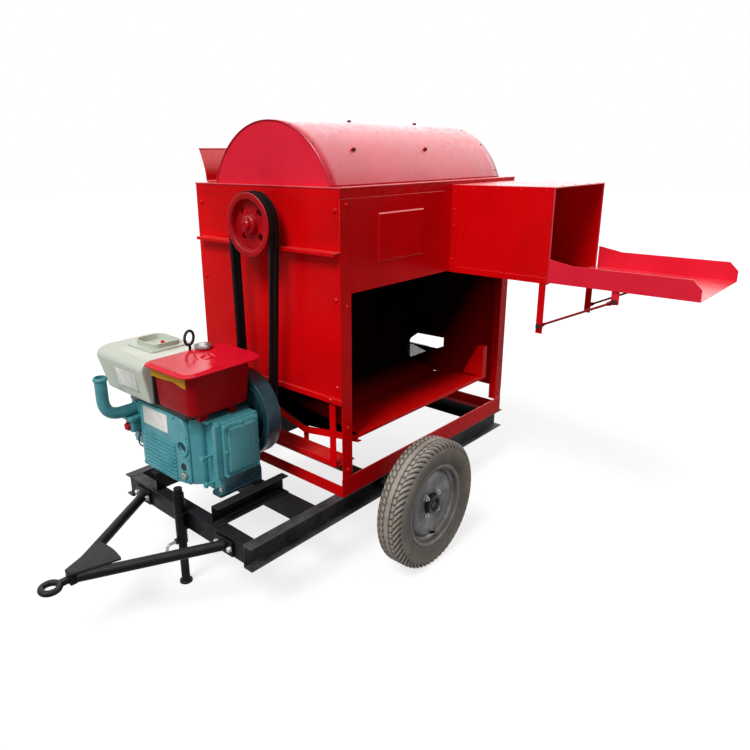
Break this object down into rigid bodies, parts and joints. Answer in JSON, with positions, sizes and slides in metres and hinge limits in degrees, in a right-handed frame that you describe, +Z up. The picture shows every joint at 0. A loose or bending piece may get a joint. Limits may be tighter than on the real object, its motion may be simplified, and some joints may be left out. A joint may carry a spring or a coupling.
{
  "type": "threshing machine",
  "caption": "Trailer-mounted grain thresher with a covered spiked drum, side feed box with folding tray, belt-driven by a horizontal diesel engine on a towed two-wheel chassis.",
  "frame": {"origin": "middle of the machine's length and width, on the ground", "axes": "+X from the hitch to the rear, +Y from the feeding side to the far side, +Z up"},
  "size_m": [2.4466, 2.258, 1.8709],
  "materials": {
    "red_paint": "gloss paint",
    "dark_red_paint": "gloss paint",
    "black_paint": "satin paint",
    "teal_paint": "gloss paint",
    "grey_green_paint": "gloss paint",
    "tyre_rubber": "dusty rubber",
    "wheel_silver": "silver paint, dusty",
    "iron": "rough cast",
    "bright_steel": "zinc plated",
    "belt_rubber": "matt"
  },
  "bodies": {
    "chassis": {"base_frame": "red_paint", "near_front_post": "red_paint", "far_front_post": "red_paint", "near_rear_post": "red_paint", "far_rear_post": "red_paint", "top_rim": "red_paint", "front_panel": "red_paint", "rear_panel": "red_paint", "far_panel": "red_paint", "near_panel": "red_paint", "drum_cover": "red_paint", "straw_deflector": "red_paint", "feed_box": "red_paint", "near_tray_strut": "red_paint", "far_tray_strut": "red_paint", "grain_pan": "red_paint", "pan_hanger": "red_paint", "fuel_tank": "dark_red_paint", "fuel_tank_lid": "dark_red_paint", "near_side_rail": "black_paint", "far_side_rail": "black_paint", "front_cross_beam": "black_paint", "middle_cross_beam": "black_paint", "rear_cross_beam": "black_paint", "near_engine_rail": "black_paint", "far_engine_rail": "black_paint", "near_drawbar_leg": "black_paint", "far_drawbar_leg": "black_paint", "hitch_eye": "black_paint", "prop_sleeve": "black_paint", "axle": "black_paint", "crankcase": "teal_paint", "gear_cover": "teal_paint", "crankcase_side_cover": "teal_paint", "cylinder_head": "teal_paint", "exhaust_elbow": "teal_paint", "water_hopper": "grey_green_paint", "hopper_funnel": "grey_green_paint", "concave_screen": "iron", "front_drum_bearing": "iron", "rear_drum_bearing": "iron", "front_belt": "belt_rubber", "rear_belt": "belt_rubber"},
    "near_wheel": {"near_tyre": "tyre_rubber", "near_rim": "wheel_silver", "near_hub": "iron"},
    "far_wheel": {"far_tyre": "tyre_rubber", "far_rim": "wheel_silver", "far_hub": "iron"},
    "drum": {"threshing_drum": "iron", "drum_shaft": "bright_steel", "drum_pulley": "red_paint"},
    "crankshaft": {"flywheel": "teal_paint", "engine_pulley": "iron"},
    "tray": {"feed_tray": "red_paint"},
    "near_brace": {"near_tray_brace": "dark_red_paint"},
    "far_brace": {"far_tray_brace": "dark_red_paint"},
    "prop": {"prop_leg": "black_paint"},
    "clamp_screw": {"prop_clamp_screw": "bright_steel"},
    "cap": {"fuel_cap": "bright_steel"}
  },
  "joints": [
    {"name": "near_wheel_spin", "type": "hinge", "parent": "chassis", "child": "near_wheel", "pos_m": [0.15725, -0.294, 0.2835], "axis": [0, 1, 0], "continuous": true},
    {"name": "far_wheel_spin", "type": "hinge", "parent": "chassis", "child": "far_wheel", "pos_m": [0.15725, 1.068, 0.2835], "axis": [0, 1, 0], "continuous": true},
    {"name": "drum_spin", "type": "hinge", "parent": "chassis", "child": "drum", "pos_m": [-0.12275, 0.349, 1.452], "axis": [1, 0, 0], "continuous": true},
    {"name": "crank_spin", "type": "hinge", "parent": "chassis", "child": "crankshaft", "pos_m": [-0.19975, 0.367, 0.66], "axis": [1, 0, 0], "continuous": true},
    {"name": "tray_fold", "type": "hinge", "parent": "chassis", "child": "tray", "pos_m": [0.86525, -0.544, 1.206], "axis": [-1, 0, 0], "range_deg": [0, 90]},
    {"name": "near_brace_swing", "type": "hinge", "parent": "chassis", "child": "near_brace", "pos_m": [0.60895, -0.524, 1.015], "axis": [1, 0, 0], "range_deg": [0, 115]},
    {"name": "far_brace_swing", "type": "hinge", "parent": "chassis", "child": "far_brace", "pos_m": [1.12255, -0.524, 1.015], "axis": [1, 0, 0], "range_deg": [0, 115]},
    {"name": "prop_slide", "type": "slide", "parent": "chassis", "child": "prop", "axis": [0, 0, 1], "range_m": [0, 0.15]},
    {"name": "clamp_turn", "type": "hinge", "parent": "chassis", "child": "clamp_screw", "pos_m": [-0.64755, 0.362, 0.205], "axis": [1, 0, 0], "range_deg": [0, 90]},
    {"name": "fuel_cap_turn", "type": "hinge", "parent": "chassis", "child": "cap", "pos_m": [-0.37775, 0.499, 0.95], "axis": [0, 0, 1], "range_deg": [0, 90]}
  ],
  "couplings": [
    {"joint": "crank_spin", "follows": "drum_spin", "ratio": 1.3723}
  ]
}
